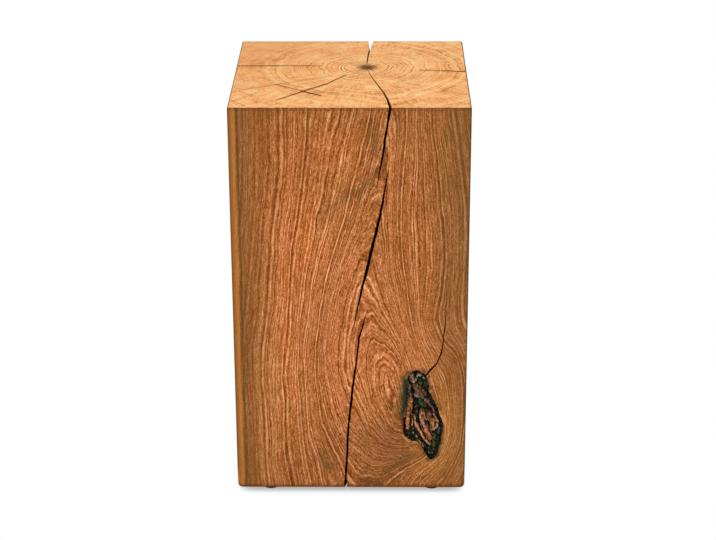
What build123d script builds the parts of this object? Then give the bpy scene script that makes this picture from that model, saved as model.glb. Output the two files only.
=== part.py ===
"""Solid oak block stool: a squared log with drying checks and an open knot, on four nail-in glides.

Millimetres. The origin is on the floor under the middle of the block, +Z up. The face with the knot looks
along -Y, and +X is to its right.
"""

import os

from build123d import *

# The block, which stands on the glides.
BLOCK_WIDTH = 250.0  # along X
BLOCK_DEPTH = 250.0  # along Y
BLOCK_HEIGHT = 439.7
EDGE_RADIUS = 2.0  # eased edges of the sides and the top
BASE_RADIUS = 5.0  # rounder edges round the base, so that it doesn't splinter

# The glides: a domed plastic foot moulded round the head of a steel nail.
GLIDE_RADIUS = 11.0
GLIDE_HEIGHT = 5.3
GLIDE_RIM = 0.3  # straight rim above the dome
GLIDE_FLAT_RADIUS = 6.0  # flat that meets the floor
GLIDE_FROM_SIDE = 36.0  # glide centre to the left and right faces
GLIDE_FROM_FRONT = 17.5  # glide centre to the front and back faces
NAIL_RADIUS = 1.3
NAIL_LENGTH = 22.0  # above the glide, in the wood
NAIL_POINT = 4.0  # length of the conical point
NAIL_HEAD_RADIUS = 4.0
NAIL_HEAD_THICKNESS = 1.2
NAIL_HEAD_COVER = 2.5  # plastic under the nail head

# The heart of the log, which the checks run towards.
PITH_X = 15.5
PITH_Y = 21.0
PITH_GAP = 9.0  # sound wood left between a check's tip and the heart

# Checks on the upright faces. Each station is (share of the block's height, X of the mouth, mouth width).
# A check leans across the grain, dies out, and a new one starts beside it.
FRONT_CHECK_UPPER = [(0.802, 28.0, 0.5), (0.880, 34.0, 2.3), (0.962, 39.0, 2.5), (1.0, 42.0, 3.0)]
FRONT_CHECK_MIDDLE = [
    (0.430, 2.0, 0.5),
    (0.497, 8.0, 1.8),
    (0.595, 17.5, 3.3),
    (0.690, 27.5, 2.8),
    (0.777, 35.0, 2.3),
    (0.848, 40.0, 0.5),
]
FRONT_CHECK_LOWER = [
    (0.0, -6.3, 2.8),
    (0.090, -4.5, 2.5),
    (0.180, -2.5, 2.2),
    (0.272, 2.0, 2.7),
    (0.345, 6.0, 1.6),
    (0.417, 9.5, 2.3),
    (0.492, 18.5, 0.5),
]
BACK_CHECK = [
    (0.10, 15.0, 0.6),
    (0.45, 17.0, 3.2),
    (0.80, 20.0, 4.6),
    (0.955, 24.0, 5.0),
    (1.0, 21.5, 6.3),
]
CHECK_TIP_WIDTH = 0.3
CHECK_SHALLOW = 24.0  # depth of a check where it dies out
CHECK_FULL_SHARE = 0.83  # share of its widest mouth from which a check reaches its full depth
CHECK_OVERRUN = 2.0  # how far each cutter runs out past the wood

# Hairline checks in the top, each a line of (X, Y, width). The first two start at the edges of the top.
LEFT_HAIRLINE = [
    (-BLOCK_WIDTH / 2 - CHECK_OVERRUN, 25.0, 1.6),
    (-84.0, 25.5, 1.3),
    (-40.0, 25.0, 0.4),
]
RIGHT_HAIRLINE = [
    (75.0, 9.0, 0.5),
    (101.0, 6.0, 1.3),
    (BLOCK_WIDTH / 2 + CHECK_OVERRUN, 3.0, 1.6),
]
FRONT_LEFT_HAIRLINE = [(-5.0, -9.0, 0.5), (-25.0, -42.0, 1.4), (-49.0, -68.0, 1.6), (-75.0, -98.0, 0.4)]
CROSS_HAIRLINE = [(-79.0, -43.0, 0.4), (-49.0, -68.5, 1.8), (-40.0, -75.5, 2.6), (-31.0, -83.0, 1.0)]
HAIRLINE_DEPTH = 12.0

# The knot: a hollow where bark and rotten wood fell out round a stub of branch, low on the front.
KNOT_FROM_RIGHT = 47.0  # middle of the knot to the right face
KNOT_HEIGHT = 89.7  # middle of the knot above the block's base
KNOT_DEPTH = 15.0
KNOT_FLOOR_SHARE = 0.72  # size of the floor's outline against the mouth's
KNOT_OUTLINE = [
    (-16.5, 49), (-18.5, 37), (-19.5, 20), (-21, 4), (-21.5, -12), (-19, -25), (-12, -31), (-5, -33),
    (1, -41), (4.5, -48), (9.5, -53.5), (15, -50), (18, -41), (22, -24), (23, -10), (19, 3), (15.5, 13),
    (10, 25), (7, 32), (6.5, 40), (2.5, 50), (-7, 55),
]  # fmt: skip
STUB_OUTLINE = [(-3, 8), (4, 10), (10, 2), (14, -12), (10, -26), (3, -24), (-3, -8)]
STUB_RECESS = 1.5  # the stub's top lies this far behind the face
STUB_ROOT_SHARE = 1.15
KNOT_CHECK = [
    (-3.0, 46.0, 2.2),
    (3.2, 48.4, 2.2),
    (8.2, 55.3, 2.0),
    (14.6, 62.2, 1.6),
    (18.8, 73.7, 1.5),
    (21.0, 86.0, 1.3),
    (22.1, 98.4, 1.1),
    (23.1, 110.5, 0.9),
    (24.5, 150.0, 0.3),
]
KNOT_CHECK_DEPTH = 12.0

LEFT, RIGHT = -BLOCK_WIDTH / 2, BLOCK_WIDTH / 2
FRONT, BACK = -BLOCK_DEPTH / 2, BLOCK_DEPTH / 2
BASE = GLIDE_HEIGHT
TOP = BASE + BLOCK_HEIGHT
FRONT_PLANE = Plane.XZ.offset(-FRONT)  # looks out of the front, its local Y is up
KNOT_MIDDLE = Vector(RIGHT - KNOT_FROM_RIGHT, BASE + KNOT_HEIGHT)  # on the front plane

GLIDE_PLACES = {
    "front_left": (LEFT + GLIDE_FROM_SIDE, FRONT + GLIDE_FROM_FRONT),
    "front_right": (RIGHT - GLIDE_FROM_SIDE, FRONT + GLIDE_FROM_FRONT),
    "back_left": (LEFT + GLIDE_FROM_SIDE, BACK - GLIDE_FROM_FRONT),
    "back_right": (RIGHT - GLIDE_FROM_SIDE, BACK - GLIDE_FROM_FRONT),
}


def upright_check(stations, face_y):
    """A wedge-shaped split in the face at face_y, narrower towards the heart, shallow where it dies out."""
    outward = 1 if face_y > 0 else -1
    mouth_y = face_y + outward * CHECK_OVERRUN
    pith = Vector(PITH_X, PITH_Y)
    widest = max(width for _, _, width in stations)
    with BuildPart() as cutter:
        for share, mouth_x, width in stations:
            z = BASE + share * BLOCK_HEIGHT
            z += CHECK_OVERRUN * ((share == 1.0) - (share == 0.0))
            inward = pith - Vector(mouth_x, face_y)
            full_depth = inward.length - PITH_GAP
            open_share = min(1.0, width / widest / CHECK_FULL_SHARE)
            depth = CHECK_SHALLOW + (full_depth - CHECK_SHALLOW) * open_share
            tip = Vector(mouth_x, face_y) + inward.normalized() * depth
            with BuildSketch(Plane.XY.offset(z)):
                with BuildLine():
                    Polyline(
                        (mouth_x - width / 2, mouth_y),
                        (tip.X - CHECK_TIP_WIDTH / 2, tip.Y),
                        (tip.X + CHECK_TIP_WIDTH / 2, tip.Y),
                        (mouth_x + width / 2, mouth_y),
                        close=True,
                    )
                make_face()
        loft(ruled=True)
    return cutter.part


def slit(line, plane, depth):
    """A narrow split along a line of (x, y, width) on a plane, cut to a depth behind it."""
    points = [Vector(x, y) for x, y, _ in line]
    one_side, other_side = [], []
    for place, (point, (_, _, width)) in enumerate(zip(points, line)):
        before = points[max(place - 1, 0)]
        after = points[min(place + 1, len(points) - 1)]
        across = (after - before).normalized().rotate(Axis.Z, 90) * (width / 2)
        one_side.append(point + across)
        other_side.append(point - across)
    with BuildPart() as cutter:
        with BuildSketch(plane.offset(CHECK_OVERRUN)):
            with BuildLine():
                Polyline(*one_side, *reversed(other_side), close=True)
            make_face()
        extrude(amount=-(depth + CHECK_OVERRUN))
    return cutter.part


def tapered_plug(outline, near_share, near_depth, far_share, far_depth):
    """A solid between two copies of an outline, scaled about the knot's middle, at two depths."""
    with BuildPart() as plug:
        for share, depth in ((near_share, near_depth), (far_share, far_depth)):
            with BuildSketch(FRONT_PLANE.offset(-depth)):
                with BuildLine():
                    Spline(*[KNOT_MIDDLE + Vector(x, y) * share for x, y in outline], periodic=True)
                make_face()
        loft()
    return plug.part


def nail(x, y):
    """A round nail, its head down in the glide and its point up in the wood."""
    head_bottom = NAIL_HEAD_COVER
    head_top = head_bottom + NAIL_HEAD_THICKNESS
    tip = BASE + NAIL_LENGTH
    with BuildPart() as made:
        with BuildSketch(Plane(origin=(x, y, 0), x_dir=(1, 0, 0), z_dir=(0, -1, 0))):
            with BuildLine():
                Polyline(
                    (0, head_bottom),
                    (NAIL_HEAD_RADIUS, head_bottom),
                    (NAIL_HEAD_RADIUS, head_top),
                    (NAIL_RADIUS, head_top),
                    (NAIL_RADIUS, tip - NAIL_POINT),
                    (0, tip),
                    close=True,
                )
            make_face()
        revolve(axis=Axis((x, y, 0), (0, 0, 1)))
    return made.part


def glide(x, y, its_nail):
    """A domed plastic foot, moulded round its nail's head."""
    dome_top = GLIDE_HEIGHT - GLIDE_RIM
    with BuildPart() as made:
        with BuildSketch(Plane(origin=(x, y, 0), x_dir=(1, 0, 0), z_dir=(0, -1, 0))):
            with BuildLine():
                Line((0, 0), (GLIDE_FLAT_RADIUS, 0))
                dome_radius = GLIDE_RADIUS - GLIDE_FLAT_RADIUS
                EllipticalCenterArc((GLIDE_FLAT_RADIUS, dome_top), dome_radius, dome_top, 270, arc_size=90)
                Line((GLIDE_RADIUS, dome_top), (GLIDE_RADIUS, GLIDE_HEIGHT))
                Line((GLIDE_RADIUS, GLIDE_HEIGHT), (0, GLIDE_HEIGHT))
                Line((0, GLIDE_HEIGHT), (0, 0))
            make_face()
        revolve(axis=Axis((x, y, 0), (0, 0, 1)))
        add(its_nail, mode=Mode.SUBTRACT)
    return made.part


nails = {corner: nail(x, y) for corner, (x, y) in GLIDE_PLACES.items()}
glides = {corner: glide(x, y, nails[corner]) for corner, (x, y) in GLIDE_PLACES.items()}

upright_checks = [
    upright_check(FRONT_CHECK_UPPER, FRONT),
    upright_check(FRONT_CHECK_MIDDLE, FRONT),
    upright_check(FRONT_CHECK_LOWER, FRONT),
    upright_check(BACK_CHECK, BACK),
]
top_lines = [LEFT_HAIRLINE, RIGHT_HAIRLINE, FRONT_LEFT_HAIRLINE, CROSS_HAIRLINE]
hairlines = [slit(line, Plane.XY.offset(TOP), HAIRLINE_DEPTH) for line in top_lines]
knot_check_line = [(KNOT_MIDDLE.X + x, KNOT_MIDDLE.Y + y, width) for x, y, width in KNOT_CHECK]
knot_check = slit(knot_check_line, FRONT_PLANE, KNOT_CHECK_DEPTH)

with BuildPart() as knot_hollow:
    add(tapered_plug(KNOT_OUTLINE, 1.0, -CHECK_OVERRUN, KNOT_FLOOR_SHARE, KNOT_DEPTH))
    add(
        tapered_plug(STUB_OUTLINE, 1.0, STUB_RECESS, STUB_ROOT_SHARE, KNOT_DEPTH + CHECK_OVERRUN),
        mode=Mode.SUBTRACT,
    )

with BuildPart() as block:
    with BuildSketch(Plane.XY.offset(BASE)):
        Rectangle(BLOCK_WIDTH, BLOCK_DEPTH)
    extrude(amount=BLOCK_HEIGHT)
    uprights = block.edges().filter_by(Axis.Z)
    top_edges = block.faces().sort_by(Axis.Z)[-1].edges()
    fillet(uprights + top_edges, EDGE_RADIUS)
    fillet(block.faces().sort_by(Axis.Z)[0].edges(), BASE_RADIUS)
    for cutter in [*upright_checks, *hairlines, knot_check, knot_hollow.part, *nails.values()]:
        add(cutter, mode=Mode.SUBTRACT)

os.makedirs("parts", exist_ok=True)
block.part.label = "block"
export_step(block.part, "parts/block.step")
for corner in GLIDE_PLACES:
    glides[corner].label = f"glide_{corner}"
    export_step(glides[corner], f"parts/glide_{corner}.step")
    nails[corner].label = f"nail_{corner}"
    export_step(nails[corner], f"parts/nail_{corner}.step")
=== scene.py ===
"""Looks of the solid oak block stool: an oiled log with drying checks and an open knot, on plastic glides.

Metres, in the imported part's own frame. Lengths in the tables below are millimetres. h is the height above
the block's underside, and the front face looks along -Y.
"""

import math

import bmesh
import bpy
import numpy as np
from mathutils import Matrix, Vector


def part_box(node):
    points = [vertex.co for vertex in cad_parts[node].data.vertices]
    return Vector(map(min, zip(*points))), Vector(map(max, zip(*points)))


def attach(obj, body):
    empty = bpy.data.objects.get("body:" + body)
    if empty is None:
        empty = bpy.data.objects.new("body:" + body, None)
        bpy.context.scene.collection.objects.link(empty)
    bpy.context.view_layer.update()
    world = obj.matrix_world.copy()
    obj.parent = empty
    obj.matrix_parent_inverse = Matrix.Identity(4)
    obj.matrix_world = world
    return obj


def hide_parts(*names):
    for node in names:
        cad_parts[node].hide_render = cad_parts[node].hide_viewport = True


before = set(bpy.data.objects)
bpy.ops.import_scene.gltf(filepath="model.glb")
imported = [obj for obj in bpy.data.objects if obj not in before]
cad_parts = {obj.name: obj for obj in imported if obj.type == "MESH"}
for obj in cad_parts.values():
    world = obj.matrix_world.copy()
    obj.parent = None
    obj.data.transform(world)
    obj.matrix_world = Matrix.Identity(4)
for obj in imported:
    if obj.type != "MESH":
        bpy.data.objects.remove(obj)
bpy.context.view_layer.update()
MM = 0.001
BLOCK_LO, BLOCK_HI = (np.array(corner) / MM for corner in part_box("block"))
FRONT, BACK, BASE, TOP = BLOCK_LO[1], BLOCK_HI[1], BLOCK_LO[2], BLOCK_HI[2]
HEIGHT = TOP - BASE

# ---------------------------------------------------------------- sizes of the block and its checks

EDGE_RADIUS = 2.0
BASE_RADIUS = 5.0
SHARP_ANGLE = 32  # degrees between faces from which an edge is shaded sharp
PITH = np.array([15.5, 21.0])
PITH_GAP = 9.0  # wood left whole between a check's root and the heart
EASING_HEIGHTS = (10.0, 18.0, 27.0)  # levels over which the round of the base runs out into the upright edges

# Checks in the upright faces: (share of the height, X of the mouth, width of the mouth).
FRONT_CHECKS = [
    [(0.802, 28.0, 0.4), (0.880, 34.0, 2.3), (0.962, 39.0, 2.5), (1.0, 42.0, 3.0)],
    [
        (0.430, 2.0, 0.4),
        (0.497, 8.0, 1.8),
        (0.595, 17.5, 3.3),
        (0.690, 27.5, 2.8),
        (0.777, 35.0, 2.3),
        (0.848, 40.0, 0.4),
    ],
    [
        (0.0, -6.3, 2.8),
        (0.090, -4.5, 2.5),
        (0.180, -2.5, 2.2),
        (0.272, 2.0, 2.7),
        (0.345, 6.0, 1.6),
        (0.417, 9.5, 2.3),
        (0.492, 18.5, 0.4),
    ],
]
BACK_CHECK = [(0.10, 15.0, 0.6), (0.45, 17.0, 3.2), (0.80, 20.0, 4.6), (0.955, 24.0, 5.0), (1.0, 21.5, 6.3)]
CHECK_SHALLOW = 24.0  # depth of a check where it dies out
CHECK_FULL_SHARE = 0.83  # share of its widest mouth from which a check reaches its full depth
CHECK_OVERRUN = 2.0  # how far a check's cutter runs out past the top and the underside
CHECK_STEP = 1.5  # spacing of the sections along a check
HAIRLINES = [
    [(-127.0, 25.0, 1.6), (-84.0, 25.5, 1.3), (-40.0, 25.0, 0.4)],
    [(75.0, 9.0, 0.5), (101.0, 6.0, 1.3), (127.0, 3.0, 1.6)],
    [(-5.0, -9.0, 0.5), (-25.0, -42.0, 1.4), (-49.0, -68.0, 1.6), (-75.0, -98.0, 0.4)],
    [(-79.0, -43.0, 0.4), (-49.0, -68.5, 1.8), (-40.0, -75.5, 2.6), (-31.0, -83.0, 1.0)],
]
HAIRLINE_DEPTH = 12.0
HAIRLINE_STEP = 1.2

# ---------------------------------------------------------------- the knot, about its middle (X, up)

KNOT_X, KNOT_H = 78.0, 89.7
KNOT_OUTLINE = [
    (-16.5, 49), (-18.5, 37), (-19.5, 20), (-21, 4), (-21.5, -12), (-19, -25), (-12, -31), (-5, -33),
    (1, -41), (4.5, -48), (9.5, -53.5), (15, -50), (18, -41), (22, -24), (23, -10), (19, 3), (15.5, 13),
    (10, 25), (7, 32), (6.5, 40), (2.5, 50), (-7, 55),
]  # fmt: skip
KNOT_CHECK = [
    (-3.0, 46.0, 2.2), (3.2, 48.4, 2.2), (8.2, 55.3, 2.0), (14.6, 62.2, 1.6), (18.8, 73.7, 1.5),
    (21.0, 86.0, 1.3), (22.1, 98.4, 1.1), (23.1, 110.5, 0.9), (24.5, 150.0, 0.3),
]  # fmt: skip
KNOT_CHECK_DEPTH = 12.0
KNOT_BASE_DEPTH = 7.0

# Strokes that model the knot's floor: (points, half width, depth behind the face, colour name).
KNOT_COLOURS = {
    "bark": (34, 36, 18),
    "black": (32, 21, 7),
    "teal": (22, 58, 50),
    "bay": (62, 92, 80),
    "moss": (66, 78, 36),
    "fern": (40, 64, 38),
    "olive": (96, 74, 40),
    "umber": (118, 82, 50),
    "mauve": (140, 108, 90),
    "plum": (112, 86, 76),
    "orange": (220, 136, 86),
    "copper": (190, 114, 68),
    "rust": (134, 72, 28),
    "tan": (168, 120, 68),
    "gold": (196, 134, 72),
    "pale": (220, 160, 116),
    "pink": (196, 144, 116),
    # the last three colours are painted highlights in the knot
    "grey": (168, 156, 132),
    "slate": (132, 136, 126),
    "white": (224, 228, 206),
}
KNOT_STROKES = [
    # the soft left side
    ([(-17.5, 44), (-18, 28), (-18.5, 12), (-20, 0)], 3.6, 1.6, "moss"),
    ([(-17.4, 34), (-17.2, 22), (-18.6, 10)], 1.5, 2.6, "bark"),
    ([(-13.6, 37), (-13.8, 28), (-13, 20)], 1.5, 1.6, "plum"),
    # the lip and the small hollow at the top
    ([(-12.5, 48), (-11, 42)], 3.2, 2.0, "mauve"),
    ([(-9, 50), (-8.6, 44)], 0.8, 3.2, "bark"),
    ([(-10, 53), (-4, 52), (0, 50), (3, 47.5), (6, 46)], 1.5, 3.0, "black"),
    ([(-16.6, 52), (-15.4, 47), (-14.8, 43), (-12.8, 38.5)], 0.9, 5.0, "black"),
    ([(-1.5, 44), (0.5, 41), (1.5, 37)], 4.6, 7.5, "teal"),
    ([(-3.6, 40), (-2, 36)], 1.8, 6.0, "moss"),
    ([(5, 43), (5.4, 36)], 1.4, 3.0, "olive"),
    # painted highlights along the lip
    ([(-10, 39.5), (-8.4, 41.4), (-7.2, 44)], 0.9, 1.3, "grey"),
    ([(-6.6, 46.4), (-4.6, 48.4), (-2.2, 47.4), (-0.4, 46), (1.2, 44.4)], 0.95, 1.3, "grey"),
    ([(-6.4, 44.6), (-5.6, 41)], 0.6, 5.0, "bark"),
    # the smooth patch below it
    ([(-8, 34), (-5, 28), (-3.6, 24)], 4.4, 2.8, "umber"),
    ([(-10.4, 36), (-6, 36.5)], 1.4, 2.8, "olive"),
    ([(-2, 33), (0.6, 27), (3, 24)], 2.2, 3.4, "olive"),
    ([(-9, 22.5), (-4, 21.5), (0, 21)], 1.9, 2.4, "mauve"),
    ([(2.4, 38), (3, 32)], 1.6, 6.5, "bark"),
    # the strip and the green hollow
    ([(-3, 16.5), (-1.5, 12.5), (2, 9)], 3.6, 6.5, "fern"),
    ([(-6.6, 12), (-7, 5)], 2.4, 4.5, "bark"),
    ([(2, 16.5), (5, 13), (8, 8), (10.6, 4)], 1.1, 5.5, "black"),
    ([(3, 18), (5.4, 15.6)], 1.7, 1.6, "pink"),
    ([(5, 16), (8.4, 12), (10.6, 9), (12.4, 4.5)], 1.0, 1.5, "mauve"),
    ([(10.6, 18), (11.6, 12)], 1.5, 7.0, "teal"),
    ([(-6.4, 5), (-6.2, -1), (-5.8, -5)], 1.0, 5.0, "fern"),
    # the orange strip on the left and its stripes
    ([(-13, 18), (-13.8, 8), (-15.4, -2), (-16.2, -12), (-16.4, -17)], 2.5, 1.6, "copper"),
    ([(-15.2, -5), (-15.8, -11)], 1.4, 1.0, "orange"),
    ([(-15.6, 7), (-15.8, 2)], 0.8, 1.0, "gold"),
    ([(-13.2, 10), (-13.4, 1)], 0.6, 2.2, "rust"),
    ([(-17.2, -15), (-16.6, -18.5)], 0.9, 1.2, "pink"),
    # a painted highlight down the strip
    ([(-11.4, 0), (-11, -6), (-11.4, -12.5)], 0.95, 1.5, "grey"),
    ([(-11.2, -0.6), (-10.8, -3)], 0.8, 3.5, "bark"),
    ([(-12.9, 0), (-12.7, -9), (-12.7, -17)], 0.6, 4.5, "black"),
    # the dark cluster at the lower left
    ([(-17, -21), (-13, -24.5), (-7, -26)], 3.6, 5.0, "bark"),
    ([(-15, -22)], 1.5, 3.5, "moss"),
    # painted highlights on the cluster: the slate and grey dots and the white speck below
    ([(-10.8, -17)], 0.9, 2.6, "slate"),
    ([(-10, -22.4)], 0.9, 2.6, "grey"),
    ([(-9, -25)], 1.3, 4.5, "fern"),
    ([(-6.2, -26.5)], 1.0, 1.8, "white"),
    # the pale ridge and the gaps beside it
    ([(-8.6, -1), (-8, -8), (-6.8, -11)], 1.2, 1.6, "gold"),
    ([(-6.4, -9.6), (-4.8, -14), (-3, -19), (-1, -24), (2, -29), (4.6, -32.6), (8, -35)], 1.45, 1.0, "pale"),
    ([(-7.6, -14), (-5.8, -18)], 1.0, 3.4, "rust"),
    ([(-4.8, -21), (-2.6, -27), (0.6, -31.6), (4, -36), (8.4, -38)], 1.3, 5.5, "black"),
    ([(-4.8, -4.6), (-3.4, -9.6), (-1.8, -14), (0.4, -19)], 0.85, 4.2, "black"),
    ([(-1.2, -11), (0.2, -17), (2.4, -22.6), (5, -28)], 0.9, 2.2, "umber"),
    # the tongue: a copper body in dashes with a pink left rim
    ([(0.6, 2), (1.6, -4), (3, -12), (4.4, -19), (7.2, -26), (8.4, -29)], 2.5, 1.5, "copper"),
    ([(0.6, -0.5), (2, -5)], 0.8, 2.4, "rust"),
    ([(3, -14), (3.8, -19)], 1.3, 1.0, "orange"),
    ([(6.4, -22.6), (7.8, -25)], 1.6, 0.9, "orange"),
    ([(-1.4, 4.4), (-2.4, 0.5), (-2, -4), (-0.8, -7.6), (1, -10.6), (2.4, -13)], 1.2, 0.6, "pink"),
    ([(3.6, -22), (5.6, -26.6), (8, -30)], 0.55, 2.6, "rust"),
    ([(6.6, -27), (9, -27.4)], 0.3, 2.0, "rust"),
    ([(2.4, -6), (4, -9.4), (5.4, -13)], 0.8, 3.6, "black"),
    # the oval remnant on the right with its rim
    ([(6.4, 0.5), (8, -4), (10.6, -8)], 3.2, 1.8, "umber"),
    ([(2.4, -4), (4.4, -4.8)], 1.2, 1.6, "tan"),
    ([(11, -8), (11.4, -13), (9.6, -16.6)], 3.0, 1.6, "tan"),
    ([(12, -5), (12, -11)], 1.2, 1.4, "gold"),
    ([(8.4, 1.4), (10.4, -1.4)], 1.2, 2.0, "plum"),
    ([(12.8, 1), (15.2, -4), (16.8, -9.4), (16, -14), (13.6, -16.6), (11.4, -18.2)], 1.1, 0.8, "pink"),
    ([(13.4, -3), (14.8, -8), (14.6, -12)], 0.45, 2.2, "rust"),
    ([(8.6, -15.4)], 1.5, 3.4, "moss"),
    ([(7.6, -12), (6.8, -17), (9.6, -20.6), (10.6, -24)], 0.7, 3.6, "olive"),
    # the channel down the right side and the green bay below it
    ([(6.4, 26.6), (9.4, 23.4), (12, 18), (15, 10.6), (17, 4), (18.6, -3), (20.4, -10)], 1.9, 7.0, "black"),
    ([(20.6, -13), (21.2, -20)], 1.0, 4.5, "bark"),
    ([(13.6, -19.4), (16.2, -18.6)], 1.0, 5.5, "black"),
    ([(18, -17.6), (17, -23)], 2.0, 4.5, "bay"),
    ([(13, -25), (12.8, -32), (12.6, -38)], 2.4, 3.0, "moss"),
    ([(17.4, -27), (16.6, -36)], 2.0, 4.5, "bark"),
    # the lower tip
    # a painted highlight along the dark streak
    ([(-3.4, -31), (-1, -34.4), (1.6, -37.2)], 0.85, 1.5, "grey"),
    ([(-5.4, -29.4), (-2.6, -35), (1.4, -39.4)], 0.6, 3.0, "rust"),
    ([(10.5, -44.4)], 4.4, 8.0, "teal"),
    ([(9.4, -39)], 1.0, 4.0, "fern"),
    # painted highlights in the tip hole
    ([(7.2, -47), (8.8, -48.4)], 0.8, 3.6, "slate"),
    ([(11, -48.2)], 0.8, 4.2, "slate"),
    # the fine crack from the lip down to the green hollow
    ([(-12.6, 38.5), (-12.3, 30), (-11.4, 26), (-10, 22), (-7.9, 17.4)], 0.62, 5.5, "black"),
    # a painted highlight on the rim on the right
    ([(6.8, 30.4), (8, 28)], 0.9, 0.6, "grey"),
]

# ---------------------------------------------------------------- the wood's growth

RING = 2.3
PITH_WANDER_WIDTH = 65.0
# (h, how far the heart has moved along X there, how far along Y)
# These rows and the SWELLINGS come from a fitting script, not from hand work.
PITH_WANDER = [
    (1.7, -1.0, -9.8),
    (76.7, 5.5, -19.4),
    (151.7, -0.5, -23.9),
    (226.7, -6.5, -11.9),
    (301.7, 2.9, -8.4),
    (376.7, 4.2, -4.2),
]
# Swellings of the rings under the front face: (x, h, half width, half height, size, lean)
SWELLINGS = [
    (67.9, 76.7, 31.7, 34.2, -7.4, -0.112),
    (46.3, 144.4, 31.0, 102.9, -16.6, -0.095),
    (-22.7, 30.6, 31.9, 32.5, 2.5, -0.027),
    (70.9, 13.4, 31.8, 36.1, 5.8, -0.082),
    (87.9, 189.1, 34.1, 38.7, 9.8, -0.032),
    (44.9, 442.7, 30.7, 112.1, -20.0, 0.13),
    (79.5, 65.5, 33.5, 37.7, -7.4, -0.124),
    (-59.9, 150.6, 37.3, 112.1, 7.5, -0.129),
    (14.2, 267.2, 30.5, 112.1, -12.1, 0.213),
    (-99.6, 180.4, 58.5, 112.0, 8.3, -0.031),
]
SWELLING_DEPTH = 60.0
# Colours from the dark to the light of the grain.
SIDE_GRAIN = [
    (0.02, (98, 48, 12)),
    (0.26, (143, 74, 20)),
    (0.42, (168, 94, 40)),
    (0.54, (184, 108, 53)),
    (0.68, (203, 124, 68)),
    (0.86, (236, 153, 96)),
    (1.0, (250, 180, 124)),
]
# the end grain's colours are painted light as well: lighter and paler than the oak's own, for the stronger
# light from above and its sheen
END_GRAIN_TOP_LIT = [
    (0.05, (166, 94, 38)),
    (0.24, (216, 142, 76)),
    (0.42, (246, 174, 106)),
    (0.58, (255, 188, 120)),
    (0.9, (255, 216, 152)),
]
# Thin stains along the top's hairlines and two that never opened: (from, to, half width, strength).
TOP_STAINS = [
    ((-125, 25), (-84, 25.5), 2.3, 1.0),
    ((-84, 25.5), (-36, 25), 2.0, 0.85),
    ((75, 9), (101, 6), 1.6, 0.8),
    ((101, 6), (125, 3), 2.3, 1.0),
    ((-5, -9), (-25, -42), 1.2, 0.9),
    ((-25, -42), (-49, -68), 1.6, 1.0),
    ((-49, -68), (-76, -100), 1.5, 0.8),
    ((-79, -43), (-49, -68.5), 1.3, 0.6),
    ((-49, -68.5), (-31, -83), 2.2, 1.0),
    ((-112, -63), (-76, -43), 2.0, 0.5),
    ((-76, -43), (-20, -12), 2.0, 0.35),
    ((-119, -100), (-96, -72), 1.5, 0.35),
    ((60, -40), (72, -46), 2.0, 0.5),
]
# Broad tints of the front: (X, h, half width, half height, change of the log of red, green and blue).
# These come from a fitting script too. Three of the rows were changed afterwards.
FRONT_TINT = (-0.12, -0.05, 0.03)
FRONT_TINTS = [
    (17, 170, 80, 150, (0.23, 0.19, 0.27)),
    (59, 52, 68, 36, (-0.54, -0.51, -0.50)),
    (-71, 342, 35, 150, (-0.09, -0.19, -0.25)),
    (112, 334, 14, 118, (-0.33, -0.28, -0.36)),
    (-49, 295, 24, 55, (0.29, 0.31, 0.31)),
    (23, 218, 26, 39, (-0.22, -0.28, -0.36)),
    (14, 243, 15, 37, (0.22, 0.30, 0.44)),
    (-67, 172, 14, 112, (0.21, 0.23, 0.26)),
    (-19, 398, 59, 28, (0.19, 0.15, 0.13)),
    (90, 61, 27, 46, (0.71, 0.83, 0.63)),
]
# Stain that crept out of the knot: (from, to, reach, strength, colour) about its middle.
KNOT_STAINS = [
    ((-20, 44), (-21.5, 22), 8.5, 0.8, (92, 78, 38)),
    ((-21.5, 22), (-22.5, 0), 7.0, 0.75, (96, 74, 38)),
    ((-18, 42), (-19, 22), 5.5, 1.0, (42, 46, 24)),
    ((-19, 22), (-21, 4), 4.2, 1.0, (48, 48, 26)),
    ((-22, 0), (-21, -18), 4.0, 0.8, (84, 52, 28)),
    ((-16, 51), (0, 53), 6.0, 0.75, (88, 58, 30)),
    ((6, 46), (8, 33), 5.0, 0.75, (92, 68, 34)),
    ((11, 27), (19, 8), 3.5, 0.7, (96, 70, 36)),
    ((21, -14), (20, -32), 5.0, 0.75, (70, 60, 32)),
    ((19, -34), (16, -48), 5.0, 0.8, (68, 56, 30)),
    ((10, -46), (10.1, -49), 10.5, 0.85, (60, 50, 26)),
    ((3, -45), (-6, -34), 3.5, 0.7, (96, 62, 32)),
    ((-20, -21), (-9, -31), 3.0, 0.7, (92, 56, 28)),
    ((20.5, 0), (23.5, -7), 2.4, 0.6, (206, 158, 102)),
    ((-21.5, -24), (-15.5, -30.5), 2.4, 0.55, (200, 154, 104)),
    ((8.5, 45), (9.5, 38), 2.2, 0.5, (226, 160, 104)),
    ((-5.5, -33), (-9.5, -31.5), 1.8, 0.5, (222, 164, 118)),
]
STAIN_DEPTH = (5.0, 30.0)  # the front's stains are full to the first depth and gone at the second
# Dark weathered patches on the front: (from, to, half width, strength) in X and h.
FRONT_STAINS = [
    ((24, 414), (27, 392), 6.0, 0.45),
    ((10, 346), (27, 370), 5.0, 0.45),
    ((-30, 322), (4, 350), 5.0, 0.30),
    ((-32, 42), (-24, 24), 6.0, 0.55),
    ((40, 22), (62, 40), 5.0, 0.45),
    ((62, 40), (92, 46), 4.0, 0.30),
    ((12, 14), (30, 10), 8.0, 0.35),
    ((42, 105), (50, 96), 6.0, 0.30),
]

# ---------------------------------------------------------------- the room

FLOOR_HALF = 6000.0
FLOOR_SHADOW_REACH = 0.05  # metres
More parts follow.
